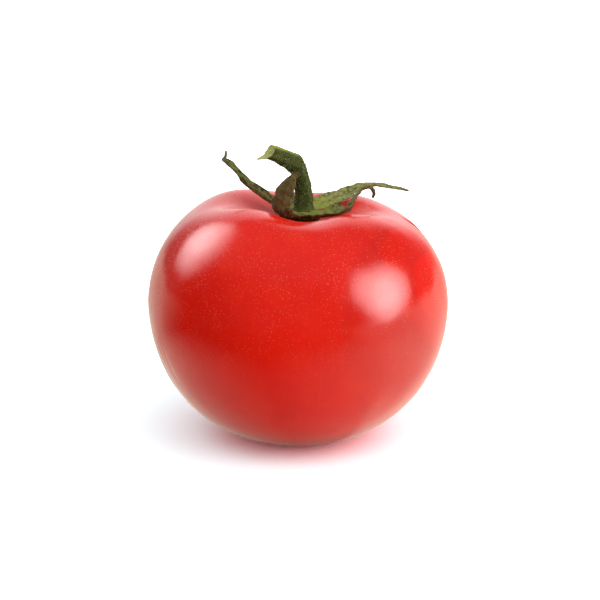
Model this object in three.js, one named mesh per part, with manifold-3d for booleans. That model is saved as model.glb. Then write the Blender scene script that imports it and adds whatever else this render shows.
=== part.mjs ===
// A ripe round tomato as picked: the fruit, the calyx of five sepals in its hollow, and the short cut stem.
// Millimetres, +Z up. The origin is the middle of the flat spot under the fruit, and -Y is the front.
import * as THREE from "three";
import { mergeVertices } from "three/addons/utils/BufferGeometryUtils.js";
import Module from "manifold-3d";

const wasm = await Module();
wasm.setup();

// The fruit's outline: its widest ring, the crown above it, and the flat spot that cuts the round underside.
const FRUIT_RADIUS = 34.1;
const WIDEST_HEIGHT = 31.6;
const CROWN_RISE = 27.4;
const FLAT_CUT = 0.7;
// Exponents of the outline. Under 1 it is fuller than an ellipse.
const CROWN_FULLNESS = 0.91;
const BASE_FULLNESS = 0.87;
const BASE_FLATNESS = 0.97;
// Four broad lobes, one for each chamber of seeds, that show most round the crown.
const LOBES = 4;
const LOBE_SWELL = 0.014;
const LOBE_TURN = THREE.MathUtils.degToRad(49);
const LOBE_AT_WIDEST = 0.3;
// The crown is higher on the left (-X). The hollow that holds the calyx is wider between the lobes.
const CROWN_LEAN = 1.9;
const HOLLOW_DEPTH = 9.3;
const HOLLOW_WIDTH = 16.2;
const HOLLOW_SHARPNESS = 2.3;
const HOLLOW_LOBED = 0.1;
const HOLLOW_X = 0.9;
const HOLLOW_Y = 2.2;
const STEM_X = 1.3;

// The calyx: a domed disc round the foot of the stem, and blades that taper to their tips.
const DISC_RADIUS = 4.3;
const DISC_TOP = 52.8;
const DISC_FALL = 1.3;
const DISC_RIM = 0.5;
const DISC_DEPTH = 2.8;
const SOCKET_FLOOR = 51.8;
const BLADE_MIDDLE = 0.8;
const BLADE_EDGE = 0.6;
// The clear gap that touching pieces keep, and how high the room for the foot of the stem is kept clear.
const GAP = 0.3;
const ROOM_HEIGHT = 6;

const UP = new THREE.Vector3(0, 0, 1);
const BACK = new THREE.Vector3(0, 1, 0);

// How fine the faceted solids are.
const FRUIT_SIDES = 60;
const FRUIT_RINGS = 34;
const STEM_SIDES = 14;
const STEM_STEPS = 26;
const BLADE_STRIPS = 4;
const BLADE_STEPS_PER_POINT = 3;

// Each point of a sepal's midrib is [x, y, z, half width, curl of the edges, roll], with the angles in degrees.
// The edges curl up over the inner face, and a roll turns the blade about its midrib.
const SEPALS = {
  // Reaches out to the left, folded like a gutter, and ends in a thin hook.
  left: [
    [0.3, 0.3, 52.2, 2, 15, 0],
    [-2.6, 1.2, 52.2, 2.3, 40, 0],
    [-4.7, 2.3, 53, 2.2, 60, 0],
    [-6.9, 3.4, 54.2, 2, 75, 0],
    [-9, 4.2, 55.5, 1.9, 80, 0],
    [-11.3, 5, 57, 1.6, 80, 0],
    [-12.9, 5.5, 58.7, 1.3, 80, 0],
    [-14.3, 5.9, 60.3, 1.3, 75, 0],
    [-15.8, 6.2, 61.9, 1.2, 60, 0],
    [-16.9, 6.3, 62.7, 0.8, 40, 0],
    [-16.3, 6.2, 63.4, 0.4, 20, 0],
    [-16.2, 6.1, 64.7, 0.3, 20, 0],
  ],
  // Folds up in front of the stem, and bends over to touch it.
  front_left: [
    [0.7, -1.6, 52.4, 2, 10, 0],
    [-0.4, -4.3, 52.1, 2.8, 25, 0],
    [-2.8, -6.4, 52.6, 3.1, 45, 0],
    [-4.5, -7.2, 54.3, 3.2, 65, 12],
    [-4.5, -7, 56.2, 3.3, 75, 22],
    [-3.7, -6.4, 58.1, 3.1, 75, 25],
    [-2.6, -5.6, 60, 2.4, 70, 25],
    [-1, -4.7, 61.6, 1.2, 50, 20],
    [0.5, -3.9, 61.5, 0.3, 20, 0],
  ],
  // Lies to the right, then turns up in a narrow twisted ribbon with a hanging tip.
  front_right: [
    [1.8, -1.4, 52.4, 2, 10, 0],
    [3.4, -4, 52.3, 2.8, 28, 4],
    [5.7, -5.9, 52.8, 3, 42, 10],
    [8, -6.9, 53.5, 2.9, 50, 15],
    [10, -7.2, 53.9, 2.3, 50, 15],
    [11.4, -7, 54.7, 1.6, 40, 5],
    [12.2, -5.5, 56.1, 1.3, 35, 0],
    [13.3, -3.3, 57.2, 1.1, 30, 0],
    [14.7, -1.1, 57.7, 0.8, 30, 0],
    [15.9, 0.7, 57.6, 0.5, 20, 0],
    [16.7, 1.7, 56.8, 0.4, 20, 0],
    [17, 2.1, 55.7, 0.35, 20, 0],
    [16.7, 2.2, 54.8, 0.3, 20, 0],
  ],
  // The broadest: a pale blade that runs back to the right, clear of the fruit, to a long fine tip.
  back_right: [
    [2.4, 0.9, 52.4, 2, 10, 0],
    [4.5, 4, 52.5, 2.9, 20, 3],
    [6.8, 7, 52.7, 3.2, 20, 6],
    [9.1, 9.3, 53.1, 3, 20, 6],
    [11.3, 11, 53.7, 2.5, 20, 6],
    [13.4, 12, 54.5, 1.7, 20, 6],
    [15.5, 12.6, 55.1, 1.2, 20, 6],
    [17.5, 12.9, 55.2, 1.2, 20, 6],
    [20.2, 13.1, 54.9, 0.9, 20, 4],
    [23, 13.2, 54.4, 0.6, 20, 0],
    [25.6, 13.1, 53.9, 0.4, 10, 0],
  ],
  // Lies back against the wall of the hollow behind the stem, and curls round to the left.
  back: [
    [0.6, 1.6, 52.4, 2, 10, 0],
    [-0.5, 4.8, 52, 2.5, 25, 0],
    [-1.5, 8, 52.2, 2.4, 35, 0],
    [-2.4, 10.8, 52.4, 2, 40, 0],
    [-3.4, 12.6, 52.8, 1.4, 40, 0],
    [-4.5, 12.9, 53.3, 0.8, 30, 0],
    [-5, 12.3, 54.3, 0.3, 10, 0],
  ],
};

// Each point of the stem's middle line is [x, y, z, radius]. It swells at the knee, where it would have let go.
const STEM = [
  [1.3, 0, 52.1, 2.5],
  [1.3, 0, 53.4, 2.2],
  [1.25, 0, 56, 2.1],
  [0.8, -0.2, 59.2, 2],
  [0.2, -0.6, 61.3, 2],
  [-0.25, -0.85, 62.6, 2.15],
  [-0.9, -1.2, 63.5, 2.3],
  [-1.9, -1.8, 64.2, 2.1],
  [-3.1, -2.5, 64.9, 1.95],
  [-4.6, -3.4, 65.8, 1.8],
  [-6.2, -4.4, 66.7, 1.75],
];
// The cut end is slanted, with a lip of torn skin that hangs from its lower side.
const CUT_SLANT = 0.8;
const LIP_SHARPNESS = 5;
const LIP = new THREE.Vector3(-2, -1, -0.3);

// Height of the plain round outline at an angle from the widest ring, below 0 in the lower half.
function outlinePoint(angle) {
  const rise = Math.sin(angle);
  const crown = rise > 0;
  const radius = FRUIT_RADIUS * Math.max(Math.cos(angle), 0) ** (crown ? CROWN_FULLNESS : BASE_FULLNESS);
  const drop = (WIDEST_HEIGHT + FLAT_CUT) * Math.abs(rise) ** BASE_FLATNESS;
  return new THREE.Vector2(radius, WIDEST_HEIGHT + (crown ? CROWN_RISE * rise : -drop));
}

// Moves a point of the plain round body to its place on the lobed, leaning fruit with its hollow.
function growFruit(point) {
  const crown = Math.max((point.z - WIDEST_HEIGHT) / CROWN_RISE, 0) ** 2;
  const lobe = Math.cos(LOBES * (Math.atan2(point.y, point.x) - LOBE_TURN));
  const swell = 1 + LOBE_SWELL * lobe * (LOBE_AT_WIDEST + (1 - LOBE_AT_WIDEST) * crown);
  point.x *= swell;
  point.y *= swell;
  const width = HOLLOW_WIDTH * (1 - HOLLOW_LOBED * lobe);
  const fromMiddle = Math.hypot(point.x - HOLLOW_X, point.y - HOLLOW_Y) / width;
  const hollow = HOLLOW_DEPTH * Math.exp(-(fromMiddle ** HOLLOW_SHARPNESS));
  point.z -= ((CROWN_LEAN * point.x) / FRUIT_RADIUS + hollow) * crown;
  return point;
}

function fruitGeometry() {
  const lowest = -Math.asin((WIDEST_HEIGHT / (WIDEST_HEIGHT + FLAT_CUT)) ** (1 / BASE_FLATNESS));
  const profile = [new THREE.Vector2(0, 0)];
  for (let ring = 0; ring <= FRUIT_RINGS; ring += 1) {
    profile.push(outlinePoint(THREE.MathUtils.lerp(lowest, Math.PI / 2, ring / FRUIT_RINGS)));
  }
  profile[1].y = 0;
  profile.at(-1).x = 0;
  const geometry = new THREE.LatheGeometry(profile, FRUIT_SIDES).rotateX(Math.PI / 2);
  const places = geometry.getAttribute("position");
  const point = new THREE.Vector3();
  for (let i = 0; i < places.count; i += 1) {
    growFruit(point.fromBufferAttribute(places, i)).toArray(places.array, 3 * i);
  }
  return geometry;
}

// Closed surface through rings of the same even number of points. Each ring goes across one side and back
// across the other, and both sides are split into triangles alike. The ends are closed straight across.
function loft(rings) {
  const count = rings[0].length;
  const half = count / 2;
  const triangles = [];
  const quad = (a, b, c, d, turned) => {
    if (turned) triangles.push(a, b, d, b, c, d);
    else triangles.push(a, b, c, a, c, d);
  };
  for (let ring = 0; ring + 1 < rings.length; ring += 1) {
    for (let i = 0; i < count; i += 1) {
      const here = ring * count + i;
      const next = ring * count + ((i + 1) % count);
      quad(here, next, next + count, here + count, i >= half);
    }
  }
  const last = (rings.length - 1) * count;
  for (let i = 0; i + 1 < half; i += 1) {
    const across = count - 1 - i;
    quad(i, across, across - 1, i + 1, false);
    quad(last + i, last + i + 1, last + across - 1, last + across, false);
  }
  const geometry = new THREE.BufferGeometry().setFromPoints(rings.flat());
  geometry.setIndex(triangles);
  return geometry;
}

// Frames along a line of rows [x, y, z, ...values]: the place, the way on, the side, the inner face and the
// values between the rows. The inner face starts where it is told and turns no more than the line does.
function framesAlong(rows, steps, startInner) {
  const line = new THREE.CatmullRomCurve3(rows.map(([x, y, z]) => new THREE.Vector3(x, y, z)));
  const inner = startInner.clone();
  return Array.from({ length: steps + 1 }, (_, step) => {
    const t = step / steps;
    const way = line.getTangent(t);
    const side = new THREE.Vector3().crossVectors(way, inner).normalize();
    inner.crossVectors(side, way).normalize();
    const row = Math.min(Math.floor(t * (rows.length - 1)), rows.length - 2);
    const share = t * (rows.length - 1) - row;
    const values = rows[row].slice(3).map((value, i) => THREE.MathUtils.lerp(value, rows[row + 1][3 + i], share));
    return { t, place: line.getPoint(t), way, side, inner: inner.clone(), values };
  });
}

// One blade: an arc across its midrib that is thickest in the middle.
function sepalGeometry(rows) {
  const frames = framesAlong(rows, (rows.length - 1) * BLADE_STEPS_PER_POINT, UP);
  const rings = frames.map(({ place, way, side, inner, values: [halfWidth, curlDegrees, rollDegrees] }) => {
    const curl = THREE.MathUtils.degToRad(Math.max(curlDegrees, 1));
    const roll = THREE.MathUtils.degToRad(rollDegrees);
    const across = side.clone().applyAxisAngle(way, roll);
    const up = inner.clone().applyAxisAngle(way, roll);
    const arcRadius = halfWidth / curl;
    const point = (share, face) => {
      const thickness = THREE.MathUtils.lerp(BLADE_MIDDLE, BLADE_EDGE, share ** 2);
      const reach = arcRadius - (face * thickness) / 2;
      return place
        .clone()
        .addScaledVector(across, reach * Math.sin(share * curl))
        .addScaledVector(up, arcRadius - reach * Math.cos(share * curl));
    };
    const shares = Array.from({ length: BLADE_STRIPS + 1 }, (_, i) => (2 * i) / BLADE_STRIPS - 1);
    return [...shares.map((share) => point(share, 1)), ...shares.reverse().map((share) => point(share, -1))];
  });
  return loft(rings);
}

// The stem: a round tube whose last ring is pushed out on one side into the slanted cut and its lip.
function stemGeometry() {
  const frames = framesAlong(STEM, STEM_STEPS, BACK);
  const rings = frames.map(({ t, place, way, side, inner, values: [radius] }) =>
    Array.from({ length: STEM_SIDES }, (_, i) => {
      const angle = (2 * Math.PI * (i + 0.5)) / STEM_SIDES;
      const spoke = side.clone().multiplyScalar(Math.cos(angle)).addScaledVector(inner, -Math.sin(angle));
      const point = place.clone().addScaledVector(spoke, radius);
      if (t < 1) return point;
      const low = -spoke.z / Math.hypot(way.x, way.y);
      return point.addScaledVector(way, (CUT_SLANT * low) / 2).addScaledVector(LIP, Math.max(low, 0) ** LIP_SHARPNESS);
    }),
  );
  return loft(rings);
}

// The disc is lathed round the stem's foot, with a socket in its top that the stem stands in.
function discGeometry() {
  const socket = STEM[0][3] + GAP;
  const bottom = SOCKET_FLOOR - DISC_DEPTH;
  const outline = [
    [0, bottom],
    [DISC_RADIUS, bottom],
    [DISC_RADIUS, DISC_TOP - DISC_FALL],
    [socket + DISC_RIM, DISC_TOP],
    [socket, DISC_TOP],
    [socket, SOCKET_FLOOR],
    [0, SOCKET_FLOOR],
  ];
  const points = outline.map(([radius, height]) => new THREE.Vector2(radius, height));
  return new THREE.LatheGeometry(points, 2 * STEM_SIDES).rotateX(Math.PI / 2).translate(STEM_X, 0, 0);
}

// A closed geometry as a solid that can be joined and cut.
function solidOf(geometry) {
  const bare = new THREE.BufferGeometry().setAttribute("position", geometry.getAttribute("position"));
  bare.setIndex(geometry.index);
  const merged = mergeVertices(bare, 1e-4);
  const vertProperties = new Float32Array(merged.getAttribute("position").array);
  return new wasm.Manifold(
    new wasm.Mesh({ numProp: 3, vertProperties, triVerts: new Uint32Array(merged.index.array) }),
  );
}

function geometryOf(solid) {
  const { vertProperties, triVerts } = solid.getMesh();
  const geometry = new THREE.BufferGeometry();
  geometry.setAttribute("position", new THREE.BufferAttribute(vertProperties, 3));
  geometry.setIndex(new THREE.BufferAttribute(triVerts, 1));
  return geometry;
}

// The five sepals and the disc are one grown whorl, cut clear of the fruit below and the stem's foot inside.
function calyxGeometry(fruit) {
  const blades = Object.values(SEPALS).map((rows) => solidOf(sepalGeometry(rows)));
  const whorl = blades.reduce((joined, blade) => joined.add(blade), solidOf(discGeometry()));
  const socket = STEM[0][3] + GAP;
  const room = new THREE.CylinderGeometry(socket, socket, ROOM_HEIGHT, 2 * STEM_SIDES)
    .rotateX(Math.PI / 2)
    .translate(STEM_X, 0, SOCKET_FLOOR + ROOM_HEIGHT / 2);
  return geometryOf(whorl.subtract(solidOf(room)).subtract(solidOf(fruit.clone().translate(0, 0, GAP))));
}

function piece(name, geometry, color, roughness) {
  const mesh = new THREE.Mesh(geometry, new THREE.MeshStandardMaterial({ color, roughness, metalness: 0 }));
  mesh.name = name;
  return mesh;
}

const tomato = new THREE.Group();
const fruit = fruitGeometry();
tomato.add(piece("fruit", fruit, 0xd81e08, 0.3));
tomato.add(piece("calyx", calyxGeometry(fruit), 0x6b7a34, 0.8));
tomato.add(piece("stem", stemGeometry(), 0x4a5a1e, 0.75));

export default tomato;
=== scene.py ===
"""A ripe round tomato with its calyx and short cut stem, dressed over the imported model."""
import math

import bpy
import numpy as np
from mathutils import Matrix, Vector


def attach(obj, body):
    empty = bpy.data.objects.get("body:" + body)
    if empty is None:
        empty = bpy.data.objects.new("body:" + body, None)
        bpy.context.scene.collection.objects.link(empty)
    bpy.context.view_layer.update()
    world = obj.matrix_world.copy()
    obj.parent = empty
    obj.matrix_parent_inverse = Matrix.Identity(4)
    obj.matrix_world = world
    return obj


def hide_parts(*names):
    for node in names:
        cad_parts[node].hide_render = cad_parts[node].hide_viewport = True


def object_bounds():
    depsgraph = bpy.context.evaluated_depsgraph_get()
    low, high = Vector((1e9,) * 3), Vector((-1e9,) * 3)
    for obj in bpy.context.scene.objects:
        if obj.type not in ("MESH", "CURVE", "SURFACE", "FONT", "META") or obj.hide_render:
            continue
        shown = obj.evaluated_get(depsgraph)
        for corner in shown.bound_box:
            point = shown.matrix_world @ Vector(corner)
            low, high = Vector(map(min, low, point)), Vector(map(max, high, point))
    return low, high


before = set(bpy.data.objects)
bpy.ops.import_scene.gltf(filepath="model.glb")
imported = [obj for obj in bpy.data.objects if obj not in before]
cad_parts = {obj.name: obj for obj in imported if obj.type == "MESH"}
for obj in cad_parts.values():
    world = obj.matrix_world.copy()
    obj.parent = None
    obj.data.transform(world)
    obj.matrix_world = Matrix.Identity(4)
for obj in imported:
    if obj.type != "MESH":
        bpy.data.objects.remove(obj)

# Lengths here are millimetres in the frame of the CAD model, and this turns them into metres.
MM = 0.001
cad_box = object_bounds()

# The fruit's outline, as in the solid.
FRUIT_RADIUS = 34.1
WIDEST_HEIGHT = 31.6
CROWN_RISE = 27.4
FLAT_CUT = 0.7
CROWN_FULLNESS = 0.91
BASE_FULLNESS = 0.87
BASE_FLATNESS = 0.97
LOBES = 4
LOBE_SWELL = 0.014
LOBE_TURN = math.radians(49)
LOBE_AT_WIDEST = 0.3
CROWN_LEAN = 1.9
HOLLOW_DEPTH = 9.3
HOLLOW_WIDTH = 16.2
HOLLOW_SHARPNESS = 2.3
HOLLOW_LOBED = 0.1
HOLLOW_X = 0.9
HOLLOW_Y = 2.2
STEM_X = 1.3

# The calyx's disc and blades. The blades are thinner than in the solid.
DISC_RADIUS = 4.3
DISC_TOP = 52.8
DISC_FALL = 1.3
DISC_FOOT = 49.4
BLADE_MIDDLE = 0.5
BLADE_EDGE = 0.2

# Each point of a sepal's midrib is (x, y, z, half width, curl of the edges, roll), as in the solid.
SEPALS = {
    "left": [
        (0.3, 0.3, 52.2, 2, 15, 0),
        (-2.6, 1.2, 52.2, 2.3, 40, 0),
        (-4.7, 2.3, 53, 2.2, 60, 0),
        (-6.9, 3.4, 54.2, 2, 75, 0),
        (-9, 4.2, 55.5, 1.9, 80, 0),
        (-11.3, 5, 57, 1.6, 80, 0),
        (-12.9, 5.5, 58.7, 1.3, 80, 0),
        (-14.3, 5.9, 60.3, 1.3, 75, 0),
        (-15.8, 6.2, 61.9, 1.2, 60, 0),
        (-16.9, 6.3, 62.7, 0.8, 40, 0),
        (-16.3, 6.2, 63.4, 0.4, 20, 0),
        (-16.2, 6.1, 64.7, 0.3, 20, 0),
    ],
    "front_left": [
        (0.7, -1.6, 52.4, 2, 10, 0),
        (-0.4, -4.3, 52.1, 2.8, 25, 0),
        (-2.8, -6.4, 52.6, 3.1, 45, 0),
        (-4.5, -7.2, 54.3, 3.2, 65, 12),
        (-4.5, -7, 56.2, 3.3, 75, 22),
        (-3.7, -6.4, 58.1, 3.1, 75, 25),
        (-2.6, -5.6, 60, 2.4, 70, 25),
        (-1, -4.7, 61.6, 1.2, 50, 20),
        (0.5, -3.9, 61.5, 0.3, 20, 0),
    ],
    "front_right": [
        (1.8, -1.4, 52.4, 2, 10, 0),
        (3.4, -4, 52.3, 2.8, 28, 4),
        (5.7, -5.9, 52.8, 3, 42, 10),
        (8, -6.9, 53.5, 2.9, 50, 15),
        (10, -7.2, 53.9, 2.3, 50, 15),
        (11.4, -7, 54.7, 1.6, 40, 5),
        (12.2, -5.5, 56.1, 1.3, 35, 0),
        (13.3, -3.3, 57.2, 1.1, 30, 0),
        (14.7, -1.1, 57.7, 0.8, 30, 0),
        (15.9, 0.7, 57.6, 0.5, 20, 0),
        (16.7, 1.7, 56.8, 0.4, 20, 0),
        (17, 2.1, 55.7, 0.35, 20, 0),
        (16.7, 2.2, 54.8, 0.3, 20, 0),
    ],
    "back_right": [
        (2.4, 0.9, 52.4, 2, 10, 0),
        (4.5, 4, 52.5, 2.9, 20, 3),
        (6.8, 7, 52.7, 3.2, 20, 6),
        (9.1, 9.3, 53.1, 3, 20, 6),
        (11.3, 11, 53.7, 2.5, 20, 6),
        (13.4, 12, 54.5, 1.7, 20, 6),
        (15.5, 12.6, 55.1, 1.2, 20, 6),
        (17.5, 12.9, 55.2, 1.2, 20, 6),
        (20.2, 13.1, 54.9, 0.9, 20, 4),
        (23, 13.2, 54.4, 0.6, 20, 0),
        (25.6, 13.1, 53.9, 0.4, 10, 0),
    ],
    "back": [
        (0.6, 1.6, 52.4, 2, 10, 0),
        (-0.5, 4.8, 52, 2.5, 25, 0),
        (-1.5, 8, 52.2, 2.4, 35, 0),
        (-2.4, 10.8, 52.4, 2, 40, 0),
        (-3.4, 12.6, 52.8, 1.4, 40, 0),
        (-4.5, 12.9, 53.3, 0.8, 30, 0),
        (-5, 12.3, 54.3, 0.3, 10, 0),
    ],
}

# Each point of the stem's middle line is (x, y, z, radius), as in the solid.
STEM = [
    (1.3, 0, 52.1, 2.5),
    (1.3, 0, 53.4, 2.2),
    (1.25, 0, 56, 2.1),
    (0.8, -0.2, 59.2, 2),
    (0.2, -0.6, 61.3, 2),
    (-0.25, -0.85, 62.6, 2.15),
    (-0.9, -1.2, 63.5, 2.3),
    (-1.9, -1.8, 64.2, 2.1),
    (-3.1, -2.5, 64.9, 1.95),
    (-4.6, -3.4, 65.8, 1.8),
    (-6.2, -4.4, 66.7, 1.75),
]
# The cut end is slanted, with a lip of torn skin that reaches out from its lower side. The lip is broader
# and a little shorter than the solid's.
CUT_SLANT = 0.8
LIP = (-1.75, -0.9, -0.3)

# Camera

CAMERA_TARGET = Vector((0.45, 0, 31.5)) * MM
CAMERA_DISTANCE = 378.5 * MM
CAMERA_ELEVATION = 17
CAMERA_LENS = 100


def from_target(azimuth, elevation):
    """A direction from the object, by its angle round from the front towards the right, and its height."""
    azimuth, elevation = math.radians(azimuth), math.radians(elevation)
    level = math.cos(elevation)
    return Vector((level * math.sin(azimuth), -level * math.cos(azimuth), math.sin(elevation)))


def look_at(thing, target):
    thing.rotation_euler = (target - thing.location).to_track_quat("-Z", "Y").to_euler()


def add_camera():
    data = bpy.data.cameras.new("camera")
    data.lens = CAMERA_LENS
    camera = bpy.data.objects.new("camera", data)
    camera.location = CAMERA_TARGET + CAMERA_DISTANCE * from_target(0, CAMERA_ELEVATION)
    look_at(camera, CAMERA_TARGET)
    bpy.context.scene.collection.objects.link(camera)
    bpy.context.scene.camera = camera


# Meshes

def add_mesh(name, points, faces, material):
    mesh = bpy.data.meshes.new(name)
    mesh.from_pydata((np.asarray(points) * MM).tolist(), [], [list(face) for face in faces])
    mesh.validate()
    mesh.shade_smooth()
    mesh.materials.append(material)
    piece = bpy.data.objects.new(name, mesh)
    bpy.context.scene.collection.objects.link(piece)
    return piece


def dress(piece, node):
    """Makes a piece stand for a solid of the CAD model: hangs it from the root and hides that solid."""
    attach(piece, "root")
    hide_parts(node)
    return piece


def add_values(piece, name, values):
    """Keeps a number for each point of the mesh, for its material to read."""
    attribute = piece.data.attributes.new(name, "FLOAT", "POINT")
    attribute.data.foreach_set("value", np.asarray(values, np.float32).ravel())


def add_places(piece, name, places):
    """Keeps a place of its own for each point of the mesh, for the grain of its material."""
    attribute = piece.data.attributes.new(name, "FLOAT_VECTOR", "POINT")
    attribute.data.foreach_set("vector", np.asarray(places, np.float32).ravel())


def grid_faces(rows, columns):
    """Quads between closed rows of points."""
    faces = []
    for row in range(rows - 1):
        for column in range(columns):
            here, beside = row * columns + column, row * columns + (column + 1) % columns
            faces.append((here, beside, beside + columns, here + columns))
    return faces


def waves(points, size, seed, count=9):
    """A smooth random height, mostly between -1 and 1, with bumps of about that size."""
    draw = np.random.default_rng(seed)
    directions = draw.normal(size=(count, 3))
    directions /= np.linalg.norm(directions, axis=1, keepdims=True)
    pace = 2 * math.pi / (size * draw.uniform(0.7, 1.5, count))
    phase = draw.uniform(0, 2 * math.pi, count)
    return np.sin((points @ directions.T) * pace + phase).sum(-1) / math.sqrt(count)


def ease(value, low, high):
    """0 up to low and 1 from high, with a smooth rise between. High may be the smaller."""
    share = np.clip((value - low) / (high - low), 0, 1)
    return share * share * (3 - 2 * share)


def bell(value, width):
    return np.exp(-((value / width) ** 2))


def unit(vectors):
    return vectors / np.linalg.norm(vectors, axis=-1, keepdims=True)


# Fruit

FRUIT_SIDES = 320
FRUIT_RINGS = 184
# The flat spot is a little dished, with the corky scar of the blossom in its middle.
DISH_RINGS = 14
DISH_DEPTH = 0.35
SCAR_RADIUS = 1.3
SCAR_RISE = 0.25
SCAR_POINTS = 7
SCAR_RAGGED = 0.25
# Below this height the skin is the underside, and its relief fades out.
UNDERSIDE = 1
# The skin's faint threads run down it, drawn out by this much.
THREAD_LENGTH = 200
# Low swells of the skin, as (size, depth).
SWELLS = ((21, 0.2), (8, 0.05))
# Folds of the skin that run out from under the calyx.
FOLDS = 15
FOLD_DEPTH = 0.08
FOLD_REACH = 9.5
FOLD_SWERVE = 1.5
FOLD_SWERVES = 3
# The skin is duller round the calyx, out to about this distance.
DULL_REACH = 15
# Healed growth streaks, each from (angle round the fruit, height) above to the same below.
STREAKS = (
    ((-153.4, 27), (-145.6, 16.6)),
    ((-157, 26.5), (-151.4, 19)),
    ((62, 44), (58, 35)),
    ((128, 30), (133, 22)),
)
STREAK_WIDTH = 0.42
STREAK_DEPTH = 0.12
# A short furrow on the right shoulder, whose far side stands higher.
FURROW = ((7.5, 50.6), (6, 46))
FURROW_WIDTH = 0.5
FURROW_DEPTH = 0.25
FURROW_STEP = 0.22
FURROW_REACH = 3.5


def fruit_points(angle, around):
    """Places on the fruit, by the angle up from the widest ring and the angle round it."""
    rise = np.sin(angle)
    crown = rise > 0
    radius = FRUIT_RADIUS * np.maximum(np.cos(angle), 0) ** np.where(crown, CROWN_FULLNESS, BASE_FULLNESS)
    drop = (WIDEST_HEIGHT + FLAT_CUT) * np.abs(rise) ** BASE_FLATNESS
    height = WIDEST_HEIGHT + np.where(crown, CROWN_RISE * rise, -drop)
    share = np.where(crown, rise, 0) ** 2
    lobe = np.cos(LOBES * (around - LOBE_TURN))
    radius = radius * (1 + LOBE_SWELL * lobe * (LOBE_AT_WIDEST + (1 - LOBE_AT_WIDEST) * share))
    x, y = radius * np.cos(around), radius * np.sin(around)
    from_middle = np.hypot(x - HOLLOW_X, y - HOLLOW_Y) / (HOLLOW_WIDTH * (1 - HOLLOW_LOBED * lobe))
    hollow = HOLLOW_DEPTH * np.exp(-(from_middle**HOLLOW_SHARPNESS))
    height = height - (CROWN_LEAN * x / FRUIT_RADIUS + hollow) * share
    return np.stack([x, y, np.maximum(height, 0)], -1)


def along_line(points, line):
    """For a line down the skin: the distance to its side, and 0 at its ends up to 1 in its middle."""
    (top_turn, top), (low_turn, low) = line
    share = np.clip((top - points[..., 2]) / (top - low), 0, 1)
    turn = np.radians(top_turn + (low_turn - top_turn) * share)
    around = np.arctan2(points[..., 1], points[..., 0])
    aside = (around - turn + math.pi) % (2 * math.pi) - math.pi
    return aside * np.hypot(points[..., 0], points[..., 1]), np.sin(math.pi * share)


def scar_at(around, away):
    """How strong the blossom scar is, with its ragged outline."""
    return bell(away, SCAR_RADIUS * (1 + SCAR_RAGGED * np.cos(SCAR_POINTS * around)))


def dished(ring):
    """Rings that fill the flat spot, from its middle out to its edge."""
    shares = np.arange(1, DISH_RINGS + 1)[:, None, None] / (DISH_RINGS + 1)
    rings = ring[None] * shares
    around = np.arctan2(ring[:, 1], ring[:, 0])
    radius = np.hypot(rings[..., 0], rings[..., 1])
    dish = DISH_DEPTH * (1 - shares[..., 0] ** 2) ** 2
    rings[..., 2] = dish - SCAR_RISE * scar_at(around, radius)
    return rings


def skin_relief(points):
    """How far the skin lies inside its plain outline, and its streaks, furrow and dullness."""
    depth = 0
    for size, swell in SWELLS:
        depth = depth + swell * (1 - np.clip(waves(points, size, int(size)), -1, 1)) / 2
    around = np.arctan2(points[..., 1] - HOLLOW_Y, points[..., 0] - HOLLOW_X)
    away = np.hypot(points[..., 0] - HOLLOW_X, points[..., 1] - HOLLOW_Y)
    on_top = ease(points[..., 2], WIDEST_HEIGHT, DISC_FOOT)
    near, dull = on_top * bell(away, FOLD_REACH), on_top * bell(away, DULL_REACH)
    swerve = FOLD_SWERVE * np.sin(FOLD_SWERVES * around)
    folds = np.sin(FOLDS * around + swerve) + np.sin(2 * FOLDS * around + 1)
    depth = depth + FOLD_DEPTH * near * (2 + folds) / 2
    streak = 0
    for line in STREAKS:
        aside, middle = along_line(points, line)
        streak = streak + middle * bell(aside, STREAK_WIDTH)
    aside, middle = along_line(points, FURROW)
    furrow = middle * bell(aside, FURROW_WIDTH)
    step = middle * np.where(aside > 0, bell(aside, FURROW_REACH), 0)
    depth = depth + STREAK_DEPTH * streak + FURROW_DEPTH * furrow - FURROW_STEP * step
    return depth, streak, furrow, dull


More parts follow.
